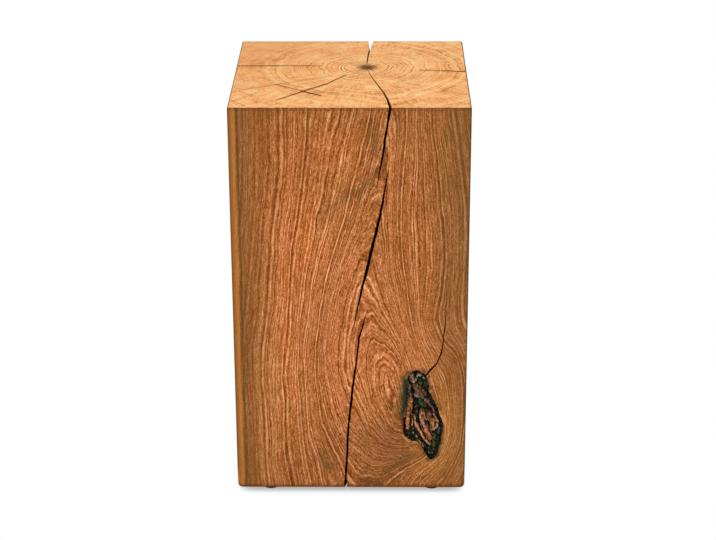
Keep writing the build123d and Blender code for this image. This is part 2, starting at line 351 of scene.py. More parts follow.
# The floor's colour by how open it is to the sky, from under the block to clear of it.
FLOOR_SHADOW = [
    (0.05, (176, 166, 158)),
    (0.20, (208, 203, 198)),
    (0.34, (222, 229, 236)),
    (0.48, (242, 246, 249)),
    (0.60, (255, 255, 255)),
]
SKY_COLOUR = (1.0, 0.99, 0.97, 1)
SKY_STRENGTH = 0.62
BACKDROP_STRENGTH = 1.1
KEY_DIRECTION = (-0.8, -0.75, 1.0)
KEY_STRENGTH = 1.55
KEY_SOFTNESS = 30  # degrees
LENS = 97.7
EYE = (0.02872, -2.01626, 1.04666)
VIEW_RIGHT = (0.999950, 0.009531, -0.002985)
VIEW_DOWN = (0.000876, -0.381390, -0.924414)
VIEW_AHEAD = (-0.009949, 0.924365, -0.381380)


# ---------------------------------------------------------------- small helpers for shapes


def wobble(at, scale, seed):
    """Smooth random numbers from -1 to 1 along at, changing over about scale."""
    table = np.random.default_rng(seed).uniform(-1, 1, 4096)
    place = np.asarray(at, float) / scale + 1000.0
    cell = np.floor(place).astype(int)
    share = place - cell
    share = share * share * (3 - 2 * share)
    return table[cell % 4096] * (1 - share) + table[(cell + 1) % 4096] * share


def wobble2(x, y, scale, seed):
    """Smooth random numbers from -1 to 1 over a plane."""
    table = np.random.default_rng(seed).uniform(-1, 1, (256, 256))
    px, py = np.asarray(x, float) / scale + 100.0, np.asarray(y, float) / scale + 100.0
    cx, cy = np.floor(px).astype(int), np.floor(py).astype(int)
    sx, sy = px - cx, py - cy
    sx, sy = sx * sx * (3 - 2 * sx), sy * sy * (3 - 2 * sy)
    corner = [[table[(cx + i) % 256, (cy + j) % 256] for j in (0, 1)] for i in (0, 1)]
    low = corner[0][0] * (1 - sy) + corner[0][1] * sy
    high = corner[1][0] * (1 - sy) + corner[1][1] * sy
    return low * (1 - sx) + high * sx


def smooth_step(low, high, value):
    share = np.clip((value - low) / (high - low), 0, 1)
    return share * share * (3 - 2 * share)


def new_object(name, points, faces, material=None):
    """A mesh object from points in millimetres."""
    mesh = bpy.data.meshes.new(name)
    mesh.from_pydata([tuple(p * MM) for p in np.asarray(points, float)], [], faces)
    mesh.validate()
    made = bpy.data.objects.new(name, mesh)
    bpy.context.scene.collection.objects.link(made)
    if material:
        mesh.materials.append(material)
    tidy = bmesh.new()
    tidy.from_mesh(mesh)
    bmesh.ops.recalc_face_normals(tidy, faces=tidy.faces)
    tidy.to_mesh(mesh)
    tidy.free()
    return made


def rounded_block(material):
    """The squared log, with eased edges that are rounder round the base."""
    turns = [math.tan(math.radians(a)) for a in (45, 30, 15, 0)]
    side = [(-1, t) for t in turns] + [(1, t) for t in reversed(turns)]
    upright = [(-1, t, None) for t in turns] + [(0, 0.0, BASE + z) for z in EASING_HEIGHTS]
    upright += [(1, t, None) for t in reversed(turns)]
    half = (BLOCK_HI[:2] - BLOCK_LO[:2]) / 2
    middle = (BLOCK_HI[:2] + BLOCK_LO[:2]) / 2
    points, found = [], {}

    def corner(i, j, k):
        if (i, j, k) in found:
            return found[i, j, k]
        (sx, tx), (sy, ty), (sz, tz, z) = side[i], side[j], upright[k]
        if sz < 0:
            radius, z = BASE_RADIUS, BASE + BASE_RADIUS
        elif sz > 0:
            radius, z = EDGE_RADIUS, TOP - EDGE_RADIUS
        else:
            upper = smooth_step(BASE_RADIUS, EASING_HEIGHTS[-1], z - BASE)
            radius = EDGE_RADIUS + (BASE_RADIUS - EDGE_RADIUS) * (1 - upper)
        out = np.array([sx * tx, sy * ty, sz * tz])
        out /= np.linalg.norm(out)
        inner = np.array([middle[0] + sx * (half[0] - radius), middle[1] + sy * (half[1] - radius), z])
        found[i, j, k] = len(points)
        points.append(inner + radius * out)
        return found[i, j, k]

    ni, nk = len(side), len(upright)
    square = ((0, 0), (1, 0), (1, 1), (0, 1))
    faces = []
    for a in range(ni - 1):
        for k in range(nk - 1):
            for j in (0, ni - 1):
                faces.append([corner(a + p, j, k + q) for p, q in square])
                faces.append([corner(j, a + p, k + q) for p, q in square])
        for b in range(ni - 1):
            for k in (0, nk - 1):
                faces.append([corner(a + p, b + q, k) for p, q in square])
    return new_object("oak_block", points, faces, material)


def crevice(name, mouth, inward, across, width, depth, material, *, flare=1.6, core=0.28, bow=0.0, seed=0):
    """A closed wedge that cuts a split: its mouth line, the ways in and across, the widths and the depths.

    flare is how fast it narrows, core the share of the width left near the root, bow its swing to one side.
    """
    levels = np.array([-0.02, 0.0, 0.03, 0.10, 0.22, 0.4, 0.6, 0.8, 0.93, 1.0])
    count = len(mouth)
    rings = []
    run = np.arange(count) * CHECK_STEP
    for side in (-1, 1):
        for level in levels if side < 0 else levels[::-1]:
            share = max(level, 0.0)
            open_ = core + (1 - core) * (1 - share) ** flare
            open_ *= math.sqrt(max(1 - share**8, 0.0)) * 0.98 + 0.02
            swing = bow * math.sin(math.pi * min(share * 1.5, 1.0)) * (share < 1)
            rough = wobble(run, 4.0, seed + int(level * 50) + 3) * 0.10 * width
            centre = swing + wobble(run, 30.0, seed + 9) * 1.2 * share
            edge = side * (width / 2 * open_ + 0.02) + rough * (0.3 + share) + centre
            rings.append(mouth + inward * (level * depth)[:, None] + across * edge[:, None])
    ring = np.stack(rings, 1)
    size = ring.shape[1]
    points = ring.reshape(-1, 3)
    faces = [
        [i * size + j, i * size + (j + 1) % size, (i + 1) * size + (j + 1) % size, (i + 1) * size + j]
        for i in range(count - 1)
        for j in range(size)
    ]
    faces += [list(range(size)), [(count - 1) * size + j for j in range(size)]]
    return new_object(name, points, faces, material)


def upright_crevice(name, stations, face_y, material, seed, **shape):
    """A check in an upright face that runs in towards the heart."""
    share, mouth_x, width = np.array(stations).T
    ends = np.array([share[0], share[-1]]) * HEIGHT
    h = np.linspace(ends[0], ends[1], int((ends[1] - ends[0]) / CHECK_STEP) + 2)
    x = np.interp(h, share * HEIGHT, mouth_x)
    w = np.interp(h, share * HEIGHT, width)
    x = x + wobble(h, 12.0, seed) * 0.35 + wobble(h, 3.0, seed + 1) * 0.12
    w = w * (1 + 0.16 * wobble(h, 8.0, seed + 2) + 0.08 * wobble(h, 2.5, seed + 3))
    w = np.maximum(w, 0.25)
    z = BASE + h
    z[0] -= CHECK_OVERRUN * (share[0] == 0.0)
    z[-1] += CHECK_OVERRUN * (share[-1] == 1.0)
    mouth = np.stack([x, np.full_like(x, face_y), z], 1)
    inward = np.stack([PITH[0] - x, np.full_like(x, PITH[1] - face_y), np.zeros_like(x)], 1)
    reach = np.linalg.norm(inward, axis=1)
    inward /= reach[:, None]
    open_share = np.minimum(1.0, w / w.max() / CHECK_FULL_SHARE)
    depth = CHECK_SHALLOW + (reach - PITH_GAP - CHECK_SHALLOW) * open_share
    across = np.tile([1.0, 0.0, 0.0], (len(x), 1))
    return crevice(name, mouth, inward, across, w, depth, material, seed=seed, **shape)


def line_crevice(name, line, to_space, inward, depth, material, seed):
    """A thin split along a line of (a, b, width) on a flat face."""
    line = np.array(line, float)
    run = np.concatenate([[0], np.cumsum(np.linalg.norm(np.diff(line[:, :2], axis=0), axis=1))])
    at = np.linspace(0, run[-1], int(run[-1] / HAIRLINE_STEP) + 2)
    a, b, w = (np.interp(at, run, line[:, k]) for k in range(3))
    slope = np.stack([np.gradient(a), np.gradient(b)], 1)
    slope /= np.linalg.norm(slope, axis=1)[:, None]
    side = np.stack([-slope[:, 1], slope[:, 0]], 1)
    shift = wobble(at, 7.0, seed) * 0.3 + wobble(at, 2.2, seed + 1) * 0.12
    flat = np.stack([a, b], 1) + side * shift[:, None]
    w = np.maximum(w * (1 + 0.2 * wobble(at, 5.0, seed + 2)), 0.2)
    mouth = to_space(flat)
    across = to_space(flat + side) - mouth
    deep = depth * np.clip(w / w.max() / 0.6, 0.25, 1)
    return crevice(name, mouth, np.tile(inward, (len(at), 1)), across, w, deep, material, seed=seed)


def on_top(flat):
    """Places on the top face."""
    return np.stack([flat[:, 0], flat[:, 1], np.full(len(flat), TOP)], 1)


def on_front(flat):
    """Places on the front face, given about the knot's middle."""
    return np.stack([flat[:, 0] + KNOT_X, np.full(len(flat), FRONT), flat[:, 1] + KNOT_H + BASE], 1)


# ---------------------------------------------------------------- the knot's hollow


def closed_curve(points, steps=24):
    """A smooth closed curve through the points."""
    p = np.array(points, float)
    before, after, beyond = np.roll(p, 1, 0), np.roll(p, -1, 0), np.roll(p, -2, 0)
    t = (np.arange(steps) / steps)[None, :, None]
    a, b, c, d = (q[:, None, :] for q in (before, p, after, beyond))
    square, cube = 2 * a - 5 * b + 4 * c - d, 3 * b - a - 3 * c + d
    curve = 0.5 * (2 * b + (c - a) * t + square * t**2 + cube * t**3)
    return curve.reshape(-1, 2)


def distance_to_line(x, y, line):
    """Distance from each place to a line of points."""
    if len(line) == 1:
        return np.hypot(x - line[0][0], y - line[0][1])
    best = np.full(np.shape(x), 1e9)
    for (ax, ay), (bx, by) in zip(line[:-1], line[1:]):
        dx, dy = bx - ax, by - ay
        t = np.clip(((x - ax) * dx + (y - ay) * dy) / (dx * dx + dy * dy), 0, 1)
        best = np.minimum(best, np.hypot(x - ax - t * dx, y - ay - t * dy))
    return best


def linear(colour):
    """Linear parts of a colour given as 0 to 255 in sRGB."""
    c = np.array(colour, float) / 255
    return np.where(c <= 0.04045, c / 12.92, ((c + 0.055) / 1.055) ** 2.4)


def knot_floor(x, y):
    """Depth behind the face and colour of the knot's floor at places about its middle."""
    x2 = x + wobble2(x, y, 3.5, 31) * 0.7 + wobble2(x, y, 1.3, 32) * 0.25
    y2 = y + wobble2(x, y, 5.0, 33) * 1.0
    depth = KNOT_BASE_DEPTH + wobble2(x, y, 4.0, 34) * 1.2
    colour = np.ones(np.shape(x) + (3,)) * linear(KNOT_COLOURS["bark"])
    for line, half, target, name in KNOT_STROKES:
        away = distance_to_line(x2, y2, line)
        share = 1 - smooth_step(half * 0.62, half * 1.25 + 0.3, away)
        depth = depth * (1 - share) + target * share
        tint = 1 - smooth_step(half * 0.5, half * 1.2 + 0.4, away)
        colour = colour * (1 - tint[..., None]) + linear(KNOT_COLOURS[name]) * tint[..., None]
    depth = depth + wobble2(x, y, 1.6, 35) * 0.35 + wobble2(x, y, 0.8, 36) * 0.15
    return depth, colour


def knot_cutter(material):
    """The closed shape that hollows out the knot. Its inner side carries the modelled floor."""
    spokes, circles = 420, 84
    curve = closed_curve(KNOT_OUTLINE)
    angle, radius = np.arctan2(curve[:, 1], curve[:, 0]), np.hypot(*curve.T)
    order = np.argsort(angle)
    turn = np.linspace(-math.pi, math.pi, spokes, endpoint=False)
    reach = np.interp(turn, angle[order], radius[order], period=2 * math.pi)
    jag = wobble(np.cos(turn) * 60, 3.0, 41) * 0.5 + wobble(np.sin(turn) * 60 + turn * 20, 2.0, 42) * 0.5
    reach = reach + jag
    share = 1 - (1 - np.linspace(0, 1, circles + 1)[1:]) ** 1.35
    x = np.outer(share, reach * np.cos(turn))
    y = np.outer(share, reach * np.sin(turn))
    edge = np.outer(1 - share, reach) * 0.8
    gentle = smooth_step(-8, -18, x) * smooth_step(-8, 6, y)
    wall = 2.2 + 3.0 * gentle
    depth, _ = knot_floor(x, y)
    depth = -0.6 + (depth + 0.6) * smooth_step(0, 1, edge / wall)
    middle_depth, _ = knot_floor(np.zeros(1), np.zeros(1))

    def place(px, py, deep):
        return np.stack([px + KNOT_X, FRONT + deep, py + KNOT_H + BASE], -1).reshape(-1, 3)

    points = np.concatenate(
        [
            place(x, y, depth),
            place(np.zeros(1), np.zeros(1), middle_depth),
            place(x[-1], y[-1], np.full(spokes, -3.0)),
        ]
    )
    hub, lid = circles * spokes, circles * spokes + 1
    faces = [[hub, j, (j + 1) % spokes] for j in range(spokes)]
    for i in range(circles - 1):
        for j in range(spokes):
            k = (j + 1) % spokes
            faces.append([i * spokes + j, (i + 1) * spokes + j, (i + 1) * spokes + k, i * spokes + k])
    rim = (circles - 1) * spokes
    faces += [[rim + j, lid + j, lid + (j + 1) % spokes, rim + (j + 1) % spokes] for j in range(spokes)]
    faces.append([lid + j for j in range(spokes)])
    return new_object("knot_cutter", points, faces, material)


def cut(target, cutter):
    """Takes the cutter out of the target and removes it. The cut faces keep the cutter's material."""
    step = target.modifiers.new("cut", "BOOLEAN")
    step.operation, step.solver, step.object = "DIFFERENCE", "EXACT", cutter
    step.material_mode = "TRANSFER"
    with bpy.context.temp_override(object=target, active_object=target, selected_objects=[target]):
        bpy.ops.object.modifier_apply(modifier=step.name)
    bpy.data.objects.remove(cutter)


# ---------------------------------------------------------------- node graphs written as sums


class Term:
    """A number in a node graph. Arithmetic on it adds Math nodes."""

    def __init__(self, graph, socket):
        self.graph, self.socket = graph, socket

    def __add__(self, other):
        return self.graph.math("ADD", self, other)

    def __sub__(self, other):
        return self.graph.math("SUBTRACT", self, other)

    def __mul__(self, other):
        return self.graph.math("MULTIPLY", self, other)

    def __truediv__(self, other):
        return self.graph.math("DIVIDE", self, other)

    def __rsub__(self, other):
        return self.graph.math("SUBTRACT", other, self)

    __radd__, __rmul__ = __add__, __mul__


class Graph:
    """A material's nodes."""

    def __init__(self, name):
        self.material = bpy.data.materials.new(name)
        self.material.use_nodes = True
        self.tree = self.material.node_tree
        self.shader = next(n for n in self.tree.nodes if n.type == "BSDF_PRINCIPLED")

    def node(self, kind, **settings):
        made = self.tree.nodes.new(kind)
        for name, value in settings.items():
            setattr(made, name, value)
        return made

    def plug(self, socket, value):
        if isinstance(value, Term):
            self.tree.links.new(value.socket, socket)
        elif isinstance(value, bpy.types.NodeSocket):
            self.tree.links.new(value, socket)
        else:
            socket.default_value = value

    def math(self, operation, *values, clamp=False):
        made = self.node("ShaderNodeMath", operation=operation, use_clamp=clamp)
        for socket, value in zip(made.inputs, values):
            self.plug(socket, value)
        return Term(self, made.outputs[0])

    def exp(self, value):
        return self.math("EXPONENT", value)

    def bell(self, *scaled):
        """exp(-(a² + b² + ...))"""
        total = scaled[0] * scaled[0]
        for value in scaled[1:]:
            total = total + value * value
        return self.exp(total * -1.0)

    def step(self, value, low, high, out_low=0.0, out_high=1.0):
        made = self.node("ShaderNodeMapRange", interpolation_type="SMOOTHSTEP")
        for socket, item in zip(made.inputs, (value, low, high, out_low, out_high)):
            self.plug(socket, item)
        return Term(self, made.outputs[0])

    def vector(self, x, y, z):
        made = self.node("ShaderNodeCombineXYZ")
        for socket, value in zip(made.inputs, (x, y, z)):
            self.plug(socket, value)
        return made.outputs[0]

    def position(self):
        """Place on the object in millimetres: x, y, and height above the underside."""
        split = self.node("ShaderNodeSeparateXYZ")
        self.plug(split.inputs[0], self.node("ShaderNodeTexCoord").outputs["Object"])
        x, y, z = (Term(self, s) for s in split.outputs)
        return x * 1000.0, y * 1000.0, z * 1000.0 - float(BASE)

    def noise(self, x=None, y=None, z=None, w=None, detail=2.0, rough=0.5, distort=0.0):
        """Noise about 0, mostly from -0.35 to 0.35. w alone gives noise along a line."""
        sizes = "1D" if x is None else ("4D" if w is not None else "3D")
        made = self.node("ShaderNodeTexNoise", noise_dimensions=sizes)
        if x is not None:
            self.plug(made.inputs["Vector"], self.vector(x, y, z))
        if w is not None:
            self.plug(made.inputs["W"], w)
        made.inputs["Scale"].default_value = 1.0
        made.inputs["Detail"].default_value = detail
        made.inputs["Roughness"].default_value = rough
        made.inputs["Distortion"].default_value = distort
        return Term(self, made.outputs[0]) - 0.5

    def colour(self, rgb):
        made = self.node("ShaderNodeRGB")
        made.outputs[0].default_value = (*linear(rgb), 1.0)
        return made.outputs[0]

    def mix(self, share, first, second, blend="MIX"):
        made = self.node("ShaderNodeMix", data_type="RGBA", blend_type=blend)
        self.plug(made.inputs[0], share)
        for socket, value in ((made.inputs[6], first), (made.inputs[7], second)):
            self.plug(socket, value if isinstance(value, bpy.types.NodeSocket) else self.colour(value))
        return made.outputs[2]

    def darken(self, share, colour, rgb):
        """The colour multiplied by rgb, by that share."""
        return self.mix(share, colour, self.mix(1.0, colour, rgb, "MULTIPLY"))

    def to_segment(self, x, y, start, end):
        """Distance from (x, y) to a straight line between two points."""
        dx, dy = end[0] - start[0], end[1] - start[1]
        along = (x - start[0]) * dx + (y - start[1]) * dy
        share = self.math("MULTIPLY", along, 1 / (dx * dx + dy * dy), clamp=True)
        off_x, off_y = x - start[0] - share * dx, y - start[1] - share * dy
        return self.math("SQRT", off_x * off_x + off_y * off_y)

    def ramp(self, value, stops):
        made = self.node("ShaderNodeValToRGB")
        parts = made.color_ramp.elements
        while len(parts) < len(stops):
            parts.new(0.5)
        for part, (place, rgb) in zip(parts, stops):
            part.position = place
            part.color = (*linear(rgb), 1.0)
        self.plug(made.inputs[0], value)
        return made.outputs[0]

    def bump(self, height, distance, strength=1.0):
        made = self.node("ShaderNodeBump")
        made.inputs["Strength"].default_value = strength
        made.inputs["Distance"].default_value = distance * MM
        self.plug(made.inputs["Height"], height)
        self.plug(self.shader.inputs["Normal"], made.outputs[0])


# ---------------------------------------------------------------- materials


def growth(g, x, y, h):
    """How far out a place is as the rings count it, its way from the heart, and how near the front it is."""
    pith_x, pith_y = (float(part) for part in PITH)
    for at, dx, dy in PITH_WANDER:
        bell = g.bell((h - float(at)) / PITH_WANDER_WIDTH)
        pith_x = bell * dx + pith_x
        pith_y = bell * dy + pith_y
    from_x, from_y = x - pith_x, y - pith_y
    out = g.math("SQRT", from_x * from_x + from_y * from_y)
    near_front = g.bell((y - float(FRONT)) / SWELLING_DEPTH)
    swell = 0.0
    for sx, sh, wide, tall, size, lean in SWELLINGS:
        dx, dh = x - sx, h - sh
        swell = g.bell((dx - dh * lean) / wide, dh / tall) * size + swell
    return out + swell * near_front, from_x, from_y, near_front


def side_grain(g, x, y, h, u, near_front):
    """The long grain of the upright faces, then what other layers share: line, fade, cloud and relief."""
    # rings are closer together in the slow growth under the front face
    slow = g.math("LOGARITHM", g.exp((u * -1.0 + 140.0) / 8.0) + 1.0, math.e) * near_front * 8.0
    rings = u / RING - slow * 0.35

    # along the rings
    line = g.noise(w=rings * 1.35, detail=2.5, rough=0.72)
    band = g.noise(w=rings * 0.7 + 20.0, detail=1.0)
    broad = g.noise(w=rings * 0.16 + 40.0, detail=1.0)
    # over the faces, from broad to fine
    cloud = g.noise(x / 38.0, y / 38.0, h / 70.0, detail=2.0)
    fade = g.noise(x / 14.0, y / 14.0, h / 40.0, detail=1.0)
    fibre = g.noise(x / 6.0, y / 6.0, h / 13.0, w=u / 0.7, detail=2.5, rough=0.75)
    dash = g.noise(x / 2.2, y / 2.2, h / 3.6, w=u / 0.55, detail=1.0, rough=0.6)
    weave = g.noise(x / 0.55, y / 0.55, h / 0.9, detail=1.0)

    clarity = near_front * 0.4 + 0.6
    light = line * (fade * 1.8 + 1.0) * clarity * 1.6 + band * 0.3 + broad * 0.25 + cloud * 0.25
    light = light + fibre * 1.25 + dash * 1.0 + weave * 1.2 + 0.515
    dark_pore = g.step(dash + line * 0.5, 0.12, 0.34)
    side = g.ramp(light - dark_pore * 0.12, SIDE_GRAIN)
    hue = g.noise(x / 3.0, y / 3.0, h / 22.0, w=u / 4.0, detail=2.0)
    side = g.darken(g.step(hue, 0.02, 0.25) * 0.7, side, (255, 228, 226))
    side = g.darken(g.step(hue, -0.02, -0.25) * 0.6, side, (238, 255, 216))
    return side, line, fade, cloud, fibre + line * 0.6 - dark_pore * 0.5


def end_grain(g, x, y, u, from_x, from_y):
    """The sawn ends: rings round the heart, rays across them, a dark star at the heart, stained hairlines, in
    colours that carry painted light from above.
    """
    angle = g.math("ARCTAN2", from_y, from_x)
    near_heart = g.math("SQRT", from_x * from_x + from_y * from_y)
    clear = g.step(near_heart, 75.0, 15.0, 0.45, 1.0)
    ripple = g.noise(x / 5.0, y / 5.0, 0.0, detail=1.0) * 1.6
    end_u = u + ripple + g.noise(x / 16.0, y / 16.0, 9.0, detail=0.0) * 7.0
    ring = g.noise(w=end_u / 1.9, detail=1.0, rough=0.5)
    band = g.noise(w=end_u / 7.0, detail=1.0)
    strength = g.noise(x / 16.0, y / 16.0, 2.0, detail=1.0) * 2.0 + 1.0
    rays = g.noise(angle * 30.0, u / 16.0, 0.0, detail=2.0, rough=0.6)
    ray_lines = g.noise(angle * 90.0, u / 30.0, 4.0, detail=1.0, rough=0.6)
    speck = g.noise(x / 1.5, y / 3.0, 3.0, detail=1.5, rough=0.6)
    haze = g.noise(x / 30.0, y / 30.0, 8.0, detail=2.0)
    light = ring * clear * 1.9 * strength + band * 0.5 + rays * 0.9 + ray_lines * 0.3
    end = g.ramp(light + speck * 0.9 + haze * 0.9 + 0.53, END_GRAIN_TOP_LIT)
    blush = g.noise(x / 20.0, y / 20.0, 5.0, detail=2.0)
    end = g.darken(g.step(blush, 0.03, 0.25) * 0.75, end, (255, 218, 210))
    pore = g.noise(x / 2.6, y / 4.5, 11.0, detail=0.0)
    end = g.mix(g.step(pore, 0.27, 0.36) * 0.7, end, (150, 84, 36))

    # the star where the heart was
    arms = g.noise(angle * 2.2, 0.0, 0.0, detail=3.0, rough=0.7) * 36.0 + 14.0
    star = near_heart / g.math("MAXIMUM", arms, 5.0) + g.noise(x / 2.5, y / 2.5, 6.0, detail=2.0) * 0.9
    end = g.mix(g.step(star, 1.25, 0.4) * 0.85, end, (124, 82, 36))
    end = g.mix(g.step(star, 0.7, 0.2) * 0.8, end, (72, 48, 22))

    drift = g.noise(x / 7.0, y / 7.0, 14.0, detail=2.0) * 1.6
    for start, finish, width, strength in TOP_STAINS:
        away = g.to_segment(x + drift, y + drift, start, finish)
        end = g.darken(g.bell(away / width) * strength, end, (138, 104, 56))
    back_left = g.step(y * 0.7 - x, 0.0, 190.0)
    return g.mix(back_left * 0.5, end, (222, 150, 88))


def tint_front(g, wood, x, h, near_front):
    """Broad darker and lighter areas of the front."""
    shifts = [Term(g, g.node("ShaderNodeValue").outputs[0]) for _ in range(3)]
    for shift, start in zip(shifts, FRONT_TINT):
        shift.socket.default_value = start
    for tx, th, wide, tall, change in FRONT_TINTS:
        bell = g.bell((x - float(tx)) / wide, (h - float(th)) / tall)
        shifts = [shift + bell * part for shift, part in zip(shifts, change)]
    scale = g.node("ShaderNodeVectorMath", operation="MULTIPLY")
    g.plug(scale.inputs[0], wood)
    g.plug(scale.inputs[1], g.vector(*(g.exp(shift * near_front) for shift in shifts)))
    return scale.outputs[0]


def tone_edges(g, wood, x, y, h, upright, fade, cloud):
    """Painted shade, darker and olive, towards the corners and on the rounded edges and the foot; darker wood
    towards the top and the foot; a painted highlight down the left corners with dark grain lines beside it.
    """
    half_width, half_depth = float(BLOCK_HI[0]), float(BLOCK_HI[1])
    corner = half_width + half_depth - g.math("ABSOLUTE", x) - g.math("ABSOLUTE", y)
    # painted shade: the uprights turn darker and olive towards the corners, where the light falls off round
    # them
    wood = g.mix(g.step(corner + cloud * 30.0, 62.0, 4.0) * upright * 0.45, wood, (124, 84, 36))
    ends = g.step(g.math("ABSOLUTE", h - HEIGHT / 2), 120.0, HEIGHT / 2 + 20.0)
    wood = g.mix(ends * upright * 0.22, wood, (120, 76, 32))

    # dark grain lines beside the painted highlight of the left corners: (distance from the corner, half
    # width, strength, colour)
    on_left = g.step(x, 10.0, -10.0) * upright
    from_corner = corner + fade * 1.5
    for at, width, strength, rgb in (
        (9.8, 1.5, 0.75, (86, 62, 28)),
        (14.0, 1.0, 0.4, (92, 66, 30)),
        (19.0, 1.2, 0.25, (92, 66, 30)),
    ):
        wood = g.mix(g.bell((from_corner - at) / width) * on_left * strength, wood, rgb)
    # painted highlight: a golden strip down both sides of the left corners, where the light from the left
    # catches them
    wood = g.mix(g.step(from_corner, 8.0, 6.6) * on_left * 0.5, wood, (200, 126, 52))
    # painted shade: darker again over the last few millimetres at the left corners' rounding
    wood = g.mix(g.step(from_corner, 5.0, 3.0) * on_left * 0.55, wood, (138, 82, 30))

    # painted shade: thin dark lines on the rounded edges themselves and along the foot, and a darker band
    # just under the top edge
    wood = g.mix(g.step(corner, 2.2, 0.9) * 0.8, wood, (78, 52, 24))
    at_side = g.step(g.math("ABSOLUTE", x), half_width - 1.7, half_width - 0.6)
    wood = g.mix(at_side * g.step(h, HEIGHT - 3.2, HEIGHT - 1.2) * 0.7, wood, (92, 58, 26))
    wood = g.mix(g.step(h, 7.5, 2.0) * 0.75, wood, (84, 48, 18))
    return g.mix(g.step(h, HEIGHT - 4.5, HEIGHT - 2.0) * upright * 0.4, wood, (96, 56, 22))


def stain_front(g, wood, x, y, h, line):
    """Weathered patches on the front and the stain round the knot."""
    full, gone = STAIN_DEPTH
    at_front = g.step(y, float(FRONT + gone), float(FRONT + full))
    for start, finish, width, strength in FRONT_STAINS:
        away = g.to_segment(x, h, start, finish) + line * width * 1.2
        wood = g.mix(g.bell(away / width) * at_front * strength, wood, (92, 66, 34))
    kx, kh = x - KNOT_X, h - KNOT_H
    ragged = g.noise(x / 2.6, y / 2.6, h / 5.5, detail=3.0, rough=0.65) + line * 0.3
    for start, finish, width, strength, rgb in KNOT_STAINS:
        away = g.to_segment(kx, kh, start, finish) * (ragged * 2.0 + 1.0)
        wood = g.mix(g.step(away, width, width * 0.1) * at_front * strength, wood, rgb)
    return wood


def wood_material():
    """Oiled oak as a solid: ring sheets round a wandering heart, fibre along the trunk, end grain on top."""
    g = Graph("oiled_oak")
    x, y, h = g.position()
    u, from_x, from_y, near_front = growth(g, x, y, h)
    u = u + g.noise(x / 28.0, y / 28.0, h / 90.0, detail=1.0) * 5.0
    u = u + g.noise(x / 7.0, y / 7.0, h / 26.0, detail=1.0) * 1.6
    side, line, fade, cloud, relief = side_grain(g, x, y, h, u, near_front)
    end = end_grain(g, x, y, u, from_x, from_y)

    normal = g.node("ShaderNodeSeparateXYZ")
    g.plug(normal.inputs[0], g.node("ShaderNodeNewGeometry").outputs["True Normal"])
    facing_up = g.step(g.math("ABSOLUTE", Term(g, normal.outputs[2])), 0.8, 0.97)
    wood = g.mix(facing_up, side, end)
    wood = g.mix(facing_up, tint_front(g, wood, x, h, near_front), wood)
    wood = tone_edges(g, wood, x, y, h, 1.0 - facing_up, fade, cloud)
    wood = stain_front(g, wood, x, y, h, line)

    g.plug(g.shader.inputs["Base Color"], wood)
    g.plug(g.shader.inputs["Roughness"], g.step(line, -0.3, 0.3, 0.66, 0.55))
    g.shader.inputs["Specular IOR Level"].default_value = 0.08
    g.bump(relief, 0.12, 0.5)
    return g.material


def check_material():
    """Raw brown wood inside the checks, nearly black with age."""
    g = Graph("check_walls")
    x, y, h = g.position()
    grain = g.noise(x / 1.2, y / 1.2, h / 14.0, detail=3.0) + 0.5
    colour = g.ramp(grain, [(0.2, (26, 12, 6)), (0.5, (44, 22, 11)), (0.8, (70, 36, 18))])
    mouth = g.step(h, HEIGHT - 4.0, HEIGHT)
    colour = g.mix(mouth * 0.75, colour, (122, 66, 24))
    g.plug(g.shader.inputs["Base Color"], colour)
    g.shader.inputs["Roughness"].default_value = 0.8
    g.shader.inputs["Specular IOR Level"].default_value = 0.2
    g.bump(grain, 0.2)
    return g.material


def knot_material():
    """The knot's floor: its modelled colours, with fine bark, flecks of painted highlight and a little shine
    in the dark parts.
    """
    g = Graph("knot")
    x, y, h = g.position()
    tint = g.node("ShaderNodeAttribute", attribute_name="knot_tint").outputs["Color"]
    across, along = x * 0.94 + h * 0.34, h * 0.94 - x * 0.34
    fine = g.noise(across / 1.5, y / 2.0, along / 3.2, detail=2.0, rough=0.65)
    stripes = g.noise(across / 1.9, y / 5.0, along / 6.0, detail=2.0, rough=0.6)
    crumbs = g.noise(x / 2.0, y / 3.0, h / 2.0, detail=2.0, rough=0.65)
    colour = g.darken(g.step(fine, -0.08, 0.16), tint, (130, 102, 84))
    colour = g.darken(g.step(stripes, -0.02, -0.2) * 0.9, colour, (120, 96, 78))
    # painted highlight: lighter flecks screened over the knot's colours
    painted_glint = g.mix(0.5, colour, (226, 180, 140), "SCREEN")
    colour = g.mix(g.step(fine, -0.06, -0.22) * 0.55, colour, painted_glint)
    colour = g.darken(g.step(crumbs, 0.12, 0.34) * 0.8, colour, (110, 100, 84))
    g.plug(g.shader.inputs["Base Color"], colour)
    g.plug(g.shader.inputs["Roughness"], g.step(fine, -0.3, 0.3, 0.35, 0.6))
    g.shader.inputs["Specular IOR Level"].default_value = 0.12
    g.bump(fine, 0.3)
    return g.material


def plastic_material():
    """Black plastic with a fine moulded grain."""
    g = Graph("black_plastic")
    x, y, h = g.position()
    fine = g.noise(x / 0.4, y / 0.4, h / 0.4, detail=2.0)
    g.plug(g.shader.inputs["Base Color"], g.ramp(fine + 0.5, [(0.3, (17, 17, 18)), (0.7, (25, 25, 26))]))
    g.plug(g.shader.inputs["Roughness"], g.step(fine, -0.3, 0.3, 0.4, 0.52))
    g.bump(fine, 0.03)
    return g.material


def steel_material():
    """Drawn bright steel."""
    g = Graph("bright_steel")
    x, y, h = g.position()
    fine = g.noise(x / 0.3, y / 0.3, h / 3.0, detail=2.0)
    colour = g.ramp(fine + 0.5, [(0.3, (165, 165, 168)), (0.7, (190, 190, 192))])
    g.plug(g.shader.inputs["Base Color"], colour)
    g.plug(g.shader.inputs["Roughness"], g.step(fine, -0.3, 0.3, 0.25, 0.4))
    g.shader.inputs["Metallic"].default_value = 1.0
    return g.material


# ---------------------------------------------------------------- build the block

